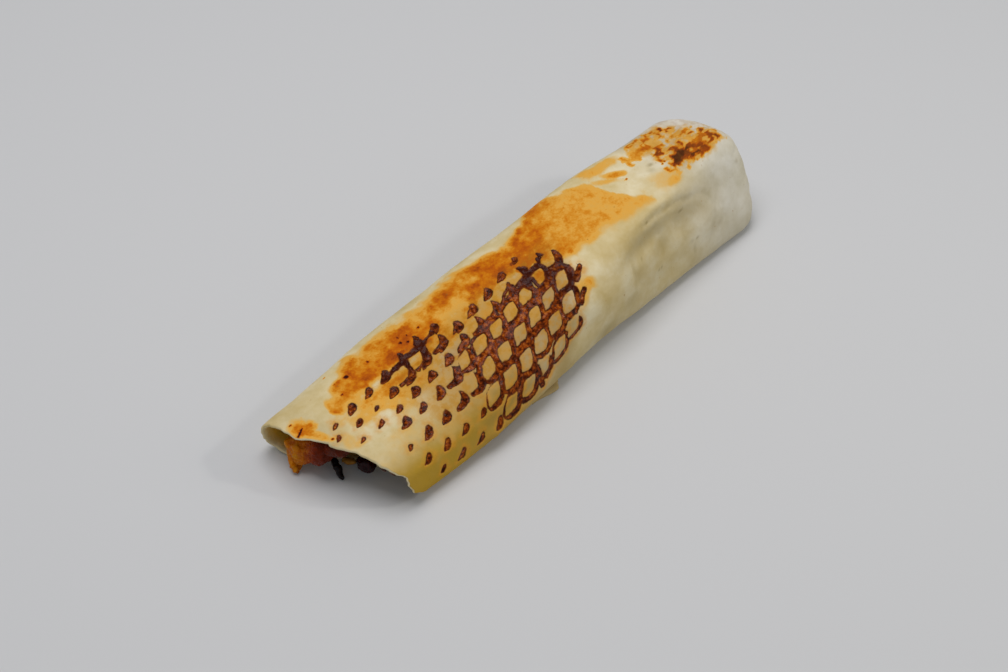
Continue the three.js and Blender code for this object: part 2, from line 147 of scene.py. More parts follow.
# The browned band along the top: place along, its left and right edges, how brown it is
BAND = [
    (-12, -12, -9, 0.4), (-9, -18, -4, 0.52), (0, -22, -3, 0.6), (10, -25, -2, 0.64), (20, -27, -2, 0.68),
    (30, -26, -1, 0.7), (40, -24.5, 0, 0.67), (50, -24.5, 1, 0.63), (60, -25.5, 1, 0.57),
    (70, -26, 1, 0.62), (80, -27, 0, 0.62), (90, -23.5, 0, 0.67), (100, -18, 1, 0.7), (107, -17.5, 6, 0.69),
    (113, -19, 11, 0.62), (122, -22, 14, 0.55), (130, -34, 15.5, 0.5), (136, -34, 15, 0.48),
    (143, -21, 14.5, 0.45), (150, -18, 16, 0.44), (157, -14, 17, 0.43), (161, -2, 17.5, 0.42),
    (166, 8, 18.5, 0.4), (172, 17, 20, 0.36),
]
BAND_CRISP = (105, 125)  # from here on its edges are crisper
BROWN_EVEN = (112, 130, 170, 190)  # where the browning is the most even
BROWN_MOST = 0.8  # without rust or char
FLAKED_FROM = (193, 200)  # where pale flakes stand in the browning

# Further browned patches: along, right of the top, half sizes, tilt in degrees, how brown
PATCHES = [
    (-24.2, -13, 5.2, 7.5, -20, 0.64), (-21.6, -2.5, 3.2, 9.5, -26, 0.54), (172, -6.5, 7, 2.6, 30, 0.44),
    (165, -6, 8, 2.2, 36, 0.3), (101.2, 9, 4.6, 5.2, 0, 0.8), (167, -15, 10, 5, 12, 0.36),
    (187, 13, 13, 7, 2, 0.19), (203, -9, 17, 6.5, -4, 0.56), (212, 8.5, 19, 10, 2, 0.46),
    (218, -5, 12, 11, 0, 0.38), (178, -14.5, 10, 4, 0, 0.34), (20, 5, 36, 10, 2, 0.38),
    (82, 8, 42, 13, -6, 0.34), (40, 22, 60, 14, -4, 0.17), (112, 26.5, 6, 4, -34, 0.5),
    (-14, 9, 3.5, 6, 30, 0.3), (-12, 14, 5, 2.5, 20, 0.34), (58, 0.5, 44, 4, -3, 0.44),
    (115.6, 25.4, 3.2, 5.5, -34, 0.58),
]

# Darker and paler places in the browning: along, right of the top, spreads, change
TONES = [
    (26, -10, 15, 3.5, 0.12), (47, -9, 10, 3, 0.1), (68, -17, 5, 3.5, 0.12), (98, -9, 12, 6, 0.08),
    (62, -6, 7, 4, -0.3), (-5, -14, 4, 4, -0.24), (80, -14, 5, 3, -0.14), (89, -9, 7, 4, -0.14),
    (98, -15, 6, 3, -0.12), (130, -24, 8, 6, 0.16), (115, -12, 10, 8, 0.06), (147, 8, 5, 2.5, 0.08),
    (146, -15, 12, 5, -0.05), (10, 0, 9, 2.5, 0.24), (20, 2, 8, 3, 0.2), (38, 1, 12, 3, 0.2),
    (28, 14, 8, 3, 0.14), (62, 13, 7, 3, 0.12), (28, 9, 5, 2, 0.3), (45, -2, 5, 2.5, 0.26),
    (171, -7, 4, 3, 0.1), (190, 17, 4, 2, 0.22), (149, 18, 8, 2.5, 0.06), (165, 15, 5, 2, 0.08),
    (64, 26, 4, 4, 0.12), (86, 20, 4, 4, 0.14), (76, 5, 6, 3, 0.1), (52, 4, 6, 3, 0.12),
    (118, 2, 5, 4, 0.06),
]

# Rust and char: along, right of the top, half sizes, how burnt, from 0.5, orange, to 1, black
BURNT = [
    (202.5, 8, 5.2, 2.6, 1), (208, 13, 4.6, 1.1, 0.96), (203, 8.5, 8.5, 5, 0.88),
    (212.4, 6.5, 2.2, 5, 0.87), (200.5, 0.8, 3.4, 3, 0.88), (206, 2.5, 3, 2.4, 0.8),
    (222, 12, 8.5, 2.8, 0.87), (215.5, 14.8, 4, 2, 0.86), (227, 7, 2, 4, 0.85), (222, 2, 4.2, 1.7, 0.84),
    (220, -8, 3.6, 3.4, 0.92), (214, -12, 3.2, 3.6, 0.86), (199.5, -14, 2.6, 1.4, 0.82),
    (204, -8, 9, 5.5, 0.76), (200, -13, 6, 3, 0.66), (192, -8, 7, 4, 0.58), (209, 12, 13, 4, 0.74),
    (222, 10, 9, 5, 0.7), (222, 1, 6, 3.4, 0.72), (205, 2, 5, 4, 0.66), (207, -6, 7, 5, 0.72),
    (99, -5.4, 2.6, 1.3, 0.87), (31, -8, 4, 1.2, 0.84), (-24, -12, 3, 5, 0.66), (101, -2, 5, 4, 0.74),
    (52, 1, 4, 3, 0.5),
]

# Small dark specks: along, right of the top, half size
SPECKS = [
    (8, -18, 1.3), (3, -27.5, 1.1), (1.8, -19.2, 0.7), (-0.3, -12, 1), (36.5, -12.3, 1),
    (38.8, -10.3, 1.2), (38, -15.5, 0.9), (42, -18.5, 0.7), (41, -13.5, 0.6), (20, -16.5, 0.8),
    (-26, -19, 0.6), (47.5, -12.5, 0.6), (195, 5.5, 0.7), (192.5, 6, 0.5), (173, 0, 0.5),
    (-19.6, 2.6, 0.9),
]
SCORCH = [(-30, -10.5), (-27, -11.8), (-24.2, -13.2)]  # a burnt line at the torn edge

# Where browned places fade out, in their own half sizes, and for the burnt line in mm
FADES = {"patch": (0.25, 1.3), "burnt": (0.7, 1.4), "speck": (0.4, 1), "speck_rim": (0.9, 1.5),
         "scorch": (0.35, 1.1)}

# Where the griddle marks are blackest: along, right of the top, spreads, how black
BLACKEST = [(34, -4, 18, 7, 1), (102, 3, 12, 9, 1), (108, 18, 6, 8, 1), (60, 52, 12, 3, 0.8)]

# Where the dough is mixed towards olive-brown: mostly painted shade under the fold below the ridge and low
# on the side, and a few real olive specks: along, right of the top, spreads, how strong
PAINTED_SHADE_AND_SPECKS = [
    (173, 25, 7, 1.8, 0.5), (184, 27.5, 8, 1.8, 0.32), (194, 29.5, 8, 2, 0.2), (147, 26.5, 8, 1.8, 0.24),
    (142.5, 40, 1.8, 10, 0.32), (139, 52, 7, 4, 0.25), (165.5, 37.5, 3.2, 5.5, 0.4),
    (158, 44, 14, 9, 0.12), (161.2, 24, 1.4, 0.8, 0.8), (189, 2, 1.8, 1.2, 0.6), (186, 5, 2, 2, 0.3),
    (160, 30, 26, 6.5, 0.56), (152, 38, 26, 9, 0.2), (206, 34, 16, 10, 0.14),
    (212, 2, 17, 13, 0.2), (98, 34, 10, 5, 0.3), (170, 34, 14, 8, 0.36),
    (-24, 2, 7, 22, 0.42), (121, 57, 8, 4, 0.4), (160, 49.7, 0.8, 0.8, 0.6), (162.5, 49.7, 0.8, 0.9, 0.6),
    (149.5, 36.5, 1, 1.2, 0.5), (167, 34, 0.8, 0.8, 0.5), (186, 37, 0.8, 0.8, 0.5),
    (190, 48.8, 1.1, 0.7, 0.6), (208, 50.5, 2.6, 1.5, 0.25), (186, 48.5, 1.6, 1.3, 0.25),
    (230.5, 30, 1.3, 1.1, 0.35), (187.8, 54, 0.8, 3, 0.35), (184, 31.3, 2.8, 1, 0.8),
    (184, 33, 16, 9, 0.44), (164, 37, 12, 6, 0.4),
]

# Fine creases: along and right of the top at both ends, depth, half width
CREASES = [
    (156, 23.5, 176, 25.5, 1, 2), (174, 25.2, 197, 29.8, 0.9, 2.2), (148, 21, 187, 22, -0.45, 1.8),
    (165.5, 31, 166, 45, 1.3, 3.6), (141.5, 32, 145.5, 51, 0.7, 1.8), (197, 27, 207, 40, 0.45, 2),
    (207, 40, 200, 56, 0.55, 2), (211, 30, 214, 50, 0.4, 2.6), (176, 30, 182, 44, 0.35, 3),
    (80, 38, 80.3, 45, 0.5, 0.5), (80.3, 45, 75.5, 49.5, 0.5, 0.5),
]
GROOVE = {"deep": 0.42, "rim": 0.05, "rim_at": -1, "rim_wide": 0.6, "char": 0.12}  # relief of the marks

# Noise: how much, the size of its lumps in mm, layers, seed
NOISE = {
    "mark_along": (0.55, 4, 3, 51),
    "mark_across": (0.55, 4, 3, 53),
    "mark_depth": (0.22, 7, 2, 57),
    "bend": (3.4, 15, 4, 11),
    "fray": (2.2, 5.5, 4, 13),
    "crumble": (1, 2.8, 4, 17),
    "mottle": (0.16, 10, 3, 5),
    "fine_mottle": (0.13, 3.2, 3, 6),
    "flakes": (1, 3.2, 3, 19),
    "crease_along": (1.5, 12, 2, 23),
    "crease_across": (1.5, 12, 2, 27),
    "blisters": (0.2, 12, 3, 21),
    "skin": (0.06, 2.2, 2, 8),
    "folded_end": (0.55, 11, 3, 33),
    "groove": (0.3, 2.4, 2, 15),
    "chicken": (1, 3.4, 4, 31),
    "fibres": (0.22, 1.1, 1, 37),
    "crumbs": (0.12, 0.9, 1, 39),
    "core": (1, 4, 3, 61),
    "beet_chunk": (0.7, 2.8, 4, 71),
    "onion_strip": (0.35, 2, 3, 41),
    "fry_strip": (0.25, 2, 3, 43),
    "onion_sliver": (0.12, 1.6, 3, 45),
    "onion_sliver_far": (0.12, 1.6, 3, 47),
}
LAYER_SHIFT = 7.3  # mm between the lumps of one layer of noise and the next

# How finely the bread is divided: round the roll, up to where right of the top and how far apart, and
# along it, how many rows to each break, to where the end closes, and past it
ROUND_AT = 60.0
ROUND_SPACING = [(-32, 1.3), (-12, 0.8), (60, 0.5), (None, 2)]
ROW_BREAKS = (14, 118)
OUTER_ROWS = (72, 206, 96, 26)
INNER_ROWS = (10, 6, 5, 6)
CORE_ROWS = (10, 36, 30, 12)
FRONT_EASE = 1.3  # rows lie closer together at the front edge
LEFT_SHARE = 0.35  # how much of the way round counts as left of the top
LIP_SHARES = (0.25, 0.5, 0.75)  # rings of the torn edge, by share of the bread's thickness
LIP_ROUND = 0.55  # how far the edge bulges
INSIDE_FROM = 4.0  # how far behind the edge the inner face turns yellow, partly its own colour, partly painted light through the bread

# What the bread's material reads at plain dough
PLAIN = {"mark": UNMARKED, "brown": 0, "black": 0, "painted_shade_and_specks": 0, "inner": 0, "along": 0, "across": 0}


def srgb(code):
    """A colour as the shader wants it, from its web code."""
    parts = [int(code[i:i + 2], 16) / 255 for i in (1, 3, 5)]
    return [p / 12.92 if p <= 0.04045 else ((p + 0.055) / 1.055) ** 2.4 for p in parts] + [1.0]


# The roll's surface

def step(value, low, high):
    """0 at low, 1 at high and smooth between."""
    t = np.clip((np.asarray(value, float) - low) / (high - low), 0, 1)
    return t * t * (3 - 2 * t)


def plateau(value, rise, top, edge, foot):
    """0 up to rise, 1 from top to edge, 0 past foot, and smooth between."""
    return step(value, rise, top) * (1 - step(value, edge, foot))


def between(first, last, share):
    return first + (last - first) * share


def smooth_at(place, at, value):
    """A smooth curve through the points (at, value)."""
    at, value = np.array([at, value], float)
    x = np.clip(place, at[0], at[-1])
    i = np.clip(np.searchsorted(at, x, side="right") - 1, 0, len(at) - 2)
    run = np.diff(at)
    slope = np.diff(value) / run
    inner = (slope[:-1] * run[1:] + slope[1:] * run[:-1]) / (run[:-1] + run[1:])
    tangent = np.concatenate([slope[:1], inner, slope[-1:]])
    t = (x - at[i]) / run[i]
    return ((2 * t**3 - 3 * t**2 + 1) * value[i] + (t**3 - 2 * t**2 + t) * run[i] * tangent[i]
            + (3 * t**2 - 2 * t**3) * value[i + 1] + (t**3 - t**2) * run[i] * tangent[i + 1])


def stations_at(along):
    return {name: smooth_at(along, STATIONS_AT, sizes) for name, sizes in STATIONS.items()}


def mouth_at(angle):
    """Where the torn front edge lies at an angle."""
    turn = np.mod(angle, 360)
    edge = np.interp(turn, *zip(*MOUTH))
    return edge + sum(deep * np.sin(np.radians(turn * often + phase)) for often, phase, deep in TEARS)


def turn_between(angle, other):
    """The turn from the other angle to this one, from -180 to 180 degrees."""
    return np.mod(angle - other + 540, 360) - 180


def roll_point(along, angle):
    at = stations_at(along)
    cos = np.cos(np.radians(angle))
    sin = np.sin(np.radians(angle))
    rightward = 0.5 - 0.5 * np.tanh(CORNER_BLEND["side"] * cos)
    downward = 0.5 - 0.5 * np.tanh(CORNER_BLEND["low"] * sin)
    upper = at["square_left"] * (1 - rightward) + at["square_right"] * rightward
    square = upper * (1 - downward) + at["square_low"] * downward
    reach = (np.abs(cos) ** square + np.abs(sin) ** square) ** (-1 / square)
    up = (reach * sin + 1) / 2
    right = between(at["right_low"], at["right_top"], up)
    left = between(at["left_low"], at["left_top"], up)
    middle = (at["right_low"] + at["right_top"] + at["left_low"] + at["left_top"]) / 4
    closing = np.clip((along - END_AT + END_ROUND) / END_ROUND, 0, 1)
    opened = (1 - closing**END_POWER) ** (1 / END_POWER)
    across = (right + left) / 2 + (left - right) / 2 * reach * cos
    across = middle + (across - middle) * opened
    high = at["height"] / 2 + (up - 0.5) * at["height"] * opened
    slanted = along - step(along, SLANT_FROM, END_AT) * END_SLANT * (across - END_NOSE) ** 2
    return np.stack([slanted, across, high], -1)


def unit(vectors):
    return vectors / np.linalg.norm(vectors, axis=-1, keepdims=True)


def lengths_to(points):
    """How far along a line its points lie."""
    return np.concatenate([[0], np.cumsum(np.linalg.norm(np.diff(points, axis=0), axis=-1))])


def roll_normal(along, angle):
    short_of_end, ahead, behind, turn = 0.3, 0.1, 0.4, 0.5
    along = np.minimum(along, END_AT - short_of_end)
    forward = roll_point(along + ahead, angle) - roll_point(along - behind, angle)
    sideways = roll_point(along, angle + turn) - roll_point(along, angle - turn)
    return unit(np.cross(sideways, forward))


def lattice_noise(points, size, seed):
    """Smooth noise from -1 to 1, with lumps of about that size."""
    spot = points / size
    cell = np.floor(spot).astype(np.int64)
    part = spot - cell
    part = part * part * (3 - 2 * part)
    total = 0.0
    for corner in np.ndindex(2, 2, 2):
        # a scrambled whole number from the corner's place and the seed
        x, y, z = np.moveaxis(cell + corner, -1, 0)
        key = x * 73856093 ^ y * 19349663 ^ z * 83492791 ^ seed * 2654435761
        key = (key ^ (key >> 13)) * 1274126177 & 0x7FFFFFFF
        key = (key ^ (key >> 16)) & 0xFFFF
        weight = np.where(corner, part, 1 - part).prod(-1)
        total = total + weight * (key / 32767.5 - 1)
    return total


def noise(name, points):
    """Noise by its row in the table, each layer half as large and strong as the last."""
    amount, size, layers, seed = NOISE[name]
    return amount * sum(lattice_noise(points + LAYER_SHIFT * k, size / 2**k, seed + k) / 2**k
                        for k in range(layers))


def relief(along, angle, point):
    """How far the dents, the free edge and the tuck move the surface out."""
    out = np.zeros(np.broadcast(along, angle).shape)
    for at, turn, deep, long, wide in DENTS:
        out += deep * np.exp(-((along - at) / long) ** 2 - (turn_between(angle, turn) / wide) ** 2)
    edge = FLAP["angle"]
    for high, long in FLAP["waves"]:
        edge = edge + high * np.sin(along / long)
    past = turn_between(edge, angle)
    out += FLAP["thick"] * plateau(past, *FLAP["past"]) * plateau(along, *FLAP["along"])
    closed = step(along, END_AT - END_ROUND * TUCK["from"], END_AT - 1)
    sloped = TUCK["height"] + TUCK["slope"] * (point[..., 1] / TUCK["wide"] - 0.5)
    line = stations_at(along)["height"] * sloped
    below = step(line - point[..., 2], -TUCK["soft"], TUCK["soft"])
    return out - TUCK["deep"] * closed * below


def bread_point(along, angle, deep, raised=0.0):
    """A point on the bread, sunk below its outer face by a depth."""
    point = roll_point(along, angle)
    out = relief(along, angle, point) - deep + raised
    point = point + roll_normal(along, angle) * np.asarray(out)[..., None]
    point[..., 2] = np.maximum(point[..., 2] - FLOOR_PRESS, deep)
    return point


# Griddle marks and browning, by place along the roll and right of its top

def oval_distance(du, dv, half, pointed=2.0):
    """Distance outside an oval, negative inside it."""
    u = np.abs(du) / half[0] + 1e-6
    v = np.abs(dv) / half[1] + 1e-6
    near = (u**pointed + v**pointed) ** (1 / pointed)
    lean = near ** (1 - pointed) * np.hypot(u ** (pointed - 1) / half[0], v ** (pointed - 1) / half[1])
    return (near - 1) / lean


def turned(dx, dy, angle):
    """Differences along an axis at that angle and across it."""
    cos, sin = math.cos(angle), math.sin(angle)
    return cos * dx + sin * dy, cos * dy - sin * dx


def cell_distances(along, across, middle, press):
    """Distances outside a cell's fleck or ring and outside its hollow, negative inside."""
    small = min(press, 0.5) / 0.5
    grown = max(press - 0.5, 0) / 0.5
    fleck_half = between(between(FLECK_LEAST, FLECK_MOST, small), CELL_HALF + RING_PAST, grown)
    dx = along - middle[0]
    dy = across - middle[1]
    shift = FLECK_SHIFT * (1 - grown)
    du, dv = turned(dx - shift[0], dy - shift[1], CELL_TILT)
    swell = 1 + FLECK_SWELL * (1 - grown) * np.clip(du / fleck_half[0], -1, 1)
    fleck = oval_distance(du, (dv + du * du / FLECK_BEND * (1 - grown)) / swell, fleck_half)
    du, dv = turned(dx + 0.5 * shift[0], dy + 0.5 * shift[1], CELL_TILT)
    return fleck, oval_distance(du, dv, CELL_HALF, CELL_POINTED)


def mark_depth(along, across, points):
    """How deep inside a griddle mark each place lies in mm, negative outside."""
    along = along + noise("mark_along", points)
    across = across + noise("mark_across", points)
    inside = np.full(along.shape, UNMARKED)
    clear = -inside
    for start, pitch, line, presses in CELL_ROWS:
        bend = np.polyfit(LINE_AT, line, 2)
        for i, press in enumerate(presses):
            x = start + i * pitch
            fleck, hollow = cell_distances(along, across, (x, np.polyval(bend, x)), press)
            inside = np.maximum(inside, np.minimum(hollow, -fleck))
            clear = np.minimum(clear, hollow + CELL_SPARED * (1 - step(press, 0.3, 0.75)))
    heavy = plateau(across, *HEAVY_ACROSS) * step(along, *HEAVY_ALONG)
    depth = np.minimum(inside, clear) + HEAVY_MORE * heavy + noise("mark_depth", points)
    for *ends, half in BARS:
        away = segment_distance(along, across, ends)[0]
        depth = np.maximum(depth, half - away)
    return depth


def segment_distance(along, across, ends):
    """Distance from a line between two places, and the share of the way along it."""
    first = np.array(ends[:2], float)
    run = np.array(ends[2:], float) - first
    share = ((along - first[0]) * run[0] + (across - first[1]) * run[1]) / (run**2).sum()
    share = np.clip(share, 0, 1)
    return np.hypot(along - first[0] - share * run[0], across - first[1] - share * run[1]), share


def browned_band(along, across, bend, fray):
    x, left, right, level = np.array(BAND).T
    own = np.interp(along + bend, x, level)
    from_left = across - np.interp(along + 0.5 * bend, x, left) + 0.6 * bend
    from_right = np.interp(along - 0.5 * bend, x, right) - across + 0.6 * bend
    from_end = np.minimum(along - x[0], x[-1] - along)
    far = step(along, *BAND_CRISP)
    soft = between(6, 2.6, far)
    return (own * step(from_left + fray, -0.6 * soft, soft) * step(from_end + bend + fray, 0, 3)
            * step(from_right + 0.7 * fray, -1.2 - far, 4.2 + 3 * far))


def browning(along, across, points):
    """How brown the bread is: 0 pale, 0.45 light orange, 0.7 deep orange, 0.88 rust, 1 black."""
    bend = noise("bend", points)
    fray = noise("fray", points)
    crumble = noise("crumble", points * [1, 0.8, 1])
    total = browned_band(along, across, bend, fray)
    for x, v, half_x, half_v, tilt, level in PATCHES:
        du, dv = turned(along - x + 0.5 * bend, across - v + 0.3 * bend, math.radians(tilt))
        away = np.hypot(du / half_x, dv / half_v) - 0.18 * fray
        total = np.maximum(total, level * (1 - step(away, *FADES["patch"])))
    for x, v, long, wide, change in TONES:
        near = np.exp(-((along - x + 0.5 * bend) / long) ** 2 - ((across - v + 0.3 * fray) / wide) ** 2)
        total = total + change * near
    mottle = noise("mottle", points) + noise("fine_mottle", points)
    total = total + mottle * step(total, 0.12, 0.45) * (1 - 0.55 * plateau(along, *BROWN_EVEN))
    total = np.clip(total, 0, BROWN_MOST)
    for x, v, half_x, half_v, level in BURNT:
        away = np.hypot((along - x + 0.2 * bend) / half_x, (across - v) / half_v) - 0.7 * crumble
        total = np.maximum(total, level * (1 - step(away, *FADES["burnt"])))
    flaked = step(noise("flakes", points * [0.8, 1.2, 1]), 0.18, 0.5) * step(along, *FLAKED_FROM)
    total = total * (1 - 0.6 * flaked * (1 - step(total, 0.93, 1)))
    return np.maximum(total, scorched(along, across, crumble))


def scorched(along, across, crumble):
    """How burnt the small dark specks and the line at the torn edge are."""
    total = np.zeros(along.shape)
    for x, v, half in SPECKS:
        away = np.hypot(along - x, 1.2 * (across - v)) / half + 0.6 * crumble
        dark = 1 - 0.35 * step(away, *FADES["speck"]) - 0.65 * step(away, *FADES["speck_rim"])
        total = np.maximum(total, dark)
    for first, second in zip(SCORCH, SCORCH[1:]):
        away = segment_distance(along, across, first + second)[0]
        total = np.maximum(total, 1 - step(away, *FADES["scorch"]))
    return total


def spots(along, across, table):
    """The strongest of a table's soft spots at each place."""
    total = np.zeros(along.shape)
    for x, v, long, wide, strength in table:
        near = np.exp(-((along - x) / long) ** 2 - ((across - v) / wide) ** 2)
        total = np.maximum(total, strength * near)
    return total


def creasing(along, across, points):
    along = along + noise("crease_along", points)
    across = across + noise("crease_across", points)
    total = np.zeros(along.shape)
    for *ends, deep, half in CREASES:
        away, share = segment_distance(along, across, ends)
        total += deep * np.exp(-(away / half) ** 2) * (0.35 + 0.65 * np.sin(math.pi * share))
    return total


# Mesh building

def add_object(name, data):
    piece = bpy.data.objects.new(name, data)
    bpy.context.scene.collection.objects.link(piece)
    return piece


def mesh_object(name, points, faces, material):
    """A mesh piece from points in the measure of the tables."""
    mesh = bpy.data.meshes.new(name)
    mesh.from_pydata(((points + SHIFT) * MM).tolist(), [], faces)
    mesh.materials.append(material)
    mesh.shade_smooth()
    return add_object(name, mesh)


def add_values(piece, name, values):
    """Numbers that the material reads at each vertex."""
    layer = piece.data.attributes.new(name, "FLOAT", "POINT")
    layer.data.foreach_set("value", np.asarray(values, dtype=np.float32))


def grid_faces(rings, count):
    """Faces between closed rings of points, with a point at each end."""
    row = np.arange(rings - 1)[:, None] * count + 1
    column = np.arange(count)
    following = (column + 1) % count
    quads = np.stack([row + column, row + following, row + count + following, row + count + column], -1)
    faces = quads.reshape(-1, 4).tolist()
    last = 1 + (rings - 1) * count
    end = last + count
    faces += [[0, 1 + (i + 1) % count, 1 + i] for i in range(count)]
    faces += [[end, last + i, last + (i + 1) % count] for i in range(count)]
    return faces


def even_angles():
    """Angles round the roll, closest together on the griddled side."""
    fine = np.arange(0, 360, 0.25)
    arc = lengths_to(roll_point(np.full(fine.shape, ROUND_AT), fine))
    top = np.interp(90, fine, arc)
    ends = [0] + [top + reach for reach, _ in ROUND_SPACING[:-1]] + [arc[-1] - 0.5]
    places = [np.arange(first, last, apart)
              for first, last, (_, apart) in zip(ends, ends[1:], ROUND_SPACING)]
    return np.interp(np.concatenate(places), arc, fine)


def rows_from(start, counts):
    """Places along the roll from its front edge to its shut end, at each angle."""
    front, griddled, plain, rounding = counts
    first, middle = ROW_BREAKS
    turn = END_AT - END_ROUND
    run = (np.arange(front) / front) ** FRONT_EASE
    near = start + (first - start) * run[:, None]
    body = np.concatenate([
        first + (middle - first) * np.arange(griddled) / griddled,
        middle + (turn - middle) * np.arange(plain) / plain,
        turn + END_ROUND * np.sin(math.pi / 2 * np.arange(rounding) / rounding)])
    return np.concatenate([near, np.repeat(body[:, None], len(start), 1)])


def arc_from_top(points, angles):
    """Distance round the roll from its top, positive to the right."""
    loop = np.concatenate([points, points[:, :1]], 1)
    lengths = np.linalg.norm(np.diff(loop, axis=1), axis=-1)
    total = lengths.sum(1, keepdims=True)
    arc = np.concatenate([np.zeros((len(points), 1)), np.cumsum(lengths, 1)[:, :-1]], 1)
    top = np.array([np.interp(90, angles, row) for row in arc])[:, None]
    return np.mod(arc - top + LEFT_SHARE * total, total) - LEFT_SHARE * total


def bread_face(rows, angles):
    """The outer face: its points, and what the bread's material reads at each."""
    turn = np.broadcast_to(angles, rows.shape)
    smooth = roll_point(rows, turn)
    across = arc_from_top(smooth, angles)
    mark = mark_depth(rows, across, smooth)
    brown = browning(rows, across, smooth)
    creased = creasing(rows, across, smooth)
    folded = step(rows, END_AT - END_ROUND, END_AT - 3)
    raised = (noise("blisters", smooth) + noise("skin", smooth)
              + folded * noise("folded_end", smooth * [1, 1, 1.6]))
    rim = np.exp(-((mark - GROOVE["rim_at"]) / GROOVE["rim_wide"]) ** 2)
    sunk = (GROOVE["deep"] * step(mark, -0.8, 1.2) - GROOVE["rim"] * rim + creased
            - GROOVE["char"] * step(brown, 0.85, 1) + step(mark, 0, 0.8) * noise("groove", smooth))
    values = {
        "mark": mark,
        "brown": brown,
        "black": spots(rows, across, BLACKEST),
        # Painted shade: the dough darkens in the creases and under the folds, and at a few real olive specks
        "painted_shade_and_specks": np.maximum(spots(rows, across, PAINTED_SHADE_AND_SPECKS), np.clip(0.3 * creased, 0, 0.4)),
        "inner": np.zeros(rows.shape),
        "along": rows,
        "across": across,
    }
    return bread_point(rows, turn, 0.0, raised - sunk), values


def build_bread(material):
    """The bread: one closed shell of an outer wall, a torn edge and an inner wall."""
    angles = even_angles()
    start = mouth_at(angles)
    outer, values = bread_face(rows_from(start, OUTER_ROWS), angles)
    lip = np.array([bread_point(start - LIP_ROUND * math.sin(math.pi * share), angles, BREAD_THICK * share)
                    for share in LIP_SHARES])
    inner_rows = rows_from(start, INNER_ROWS)
    inner = bread_point(inner_rows, np.broadcast_to(angles, inner_rows.shape), BREAD_THICK)
    end_out = roll_point(END_AT, 90.0) - [0, 0, FLOOR_PRESS]
    end_in = end_out - [BREAD_THICK, 0, 0]
    rings = np.concatenate([outer[::-1], lip, inner])
    points = np.concatenate([end_out[None], rings.reshape(-1, 3), end_in[None]])
    piece = mesh_object("bread_baked", points, grid_faces(len(rings), len(angles)), material)
    behind_lip = (inner_rows - start).ravel()
    inside = np.concatenate([np.zeros(lip[..., 0].size), step(behind_lip, 0, INSIDE_FROM), [1.0]])
    hidden = PLAIN | {"inner": inside}
    at_end = PLAIN | {"along": END_AT}
    for name, shown in values.items():
        rest = np.broadcast_to(hidden[name], inside.shape)
        add_values(piece, name, np.concatenate([[at_end[name]], shown[::-1].ravel(), rest]))
    return piece


def build_tab(material):
    """The thin corner of bread on the floor."""
    rows, columns = TAB["fine"]
    along = np.linspace(TAB["root"], TAB["end"], rows)
    foot = bread_point(along, np.full(along.shape, TAB["angle"]), 0.0)[:, 1]
    shown = plateau(along, TAB["root"], TAB["tip"], TAB["tip"], TAB["end"])
    edge = foot + TAB["tucked"] - (TAB["reach"] + TAB["tucked"]) * shown
    thin = TAB["thick"] * np.sqrt(1 - np.linspace(0, 0.97, columns) ** 4)
    rings = []
    for x, inside, outside in zip(along, foot + TAB["under"], edge):
        across = np.linspace(inside, outside, columns)
        wave = TAB["wave"] * np.sin(x * 0.9)
        top = [(x, y, 0.1 + t + wave) for y, t in zip(across, thin)]
        rings.append(top + [(x, y, 0.05) for y in across[::-1]])
    rings = np.array(rings)
    ends = rings[[0, -1]].mean(1)
    points = np.concatenate([ends[:1], rings.reshape(-1, 3), ends[1:]])
    piece = mesh_object("bread_corner", points, grid_faces(len(rings), rings.shape[1]), material)
    for name, value in (PLAIN | {"along": 80, "across": 50}).items():
        add_values(piece, name, np.full(len(points), value))
    return piece


# The filling

# The roasted slab's lumps: place, half sizes, lean in degrees, roughness, seed. Then its hanging point
CHICKEN_SLAB = [
    ((-23, 45.4, 10.8), (5.6, 6.8, 6.9), (0, 0, 0), 0.12, 7),
    ((-21, 38.5, 14.6), (5.6, 7.8, 6.8), (-26, 0, 0), 0.1, 8),
    ((-17.2, 30.5, 19.6), (5.4, 8.6, 3.6), (-22, 0, 0), 0.06, 9),
]
CHICKEN_POINT = [(-23, 49, 11), (-25.6, 47.4, 7), (-27.8, 44.8, 3), (-28.8, 43.2, 0.5)]
# The core's front: angle round the roll, place along it. Then the lumps on it: place, size
CORE_FRONT = [
    (0, -12), (60, -12), (100, -3), (140, 0), (170, 2), (200, 4), (240, 5), (262, 1), (280, -4),
    (300, -13), (320, -14), (360, -12),
]
CORE_LUMPS = [
    (6, 8, 10, 6), (3, 16, 17, 5.5), (1, 25, 11, 7), (-5, 34, 16, 5.5), (-11, 44, 10, 6), (-13, 53, 14, 6),
]
CORE_GAP = 0.35
# Strips and slivers: the middle line, width, thickness, and how pointed the ends are
STRIPS = {
    "onion_strip": ([(-13.5, 37, 5), (-15.3, 34, 4.8), (-16.8, 30, 3.4), (-17.9, 26.4, 1.1)], 3.7, 2.6, 0.4),
    "fry_strip": ([(-11.4, 33.8, 3), (-10.3, 30.9, 3.2), (-8.6, 27.8, 3.6)], 3.2, 3, 0.25),
    "onion_sliver": ([(-2.6, 18.6, 4.7), (-4, 16.6, 5), (-4, 14, 4.7)], 2, 1.1, 0.4),
    "onion_sliver_far": ([(-2.8, 13, 7.6), (-4, 11, 7.2), (-3.8, 8.6, 6.2)], 1.8, 1.1, 0.4),
}
STRIP_FACING = (0.35, -0.2, 0.9)  # the way a strip's flat side faces
# The dark chunk: place, half sizes, lean in degrees, roughness, seed, squareness, fineness
BEET = ((-7.6, 22.3, 6.4), (3.6, 4.2, 3.4), (20, 10, 25), 0.2, 5, 2.4, 56)
ROOF_AT = -22.0  # where along the roll the bread over the mouth is measured
ROOF_MIDDLE = np.array([30.0, 12.0])


def draw_from(seed):
    """Numbers from 0 to 1, the same each time for a seed."""
    state = seed
    while True:
        state = (state * 16807) % 2147483647
        yield state / 2147483647


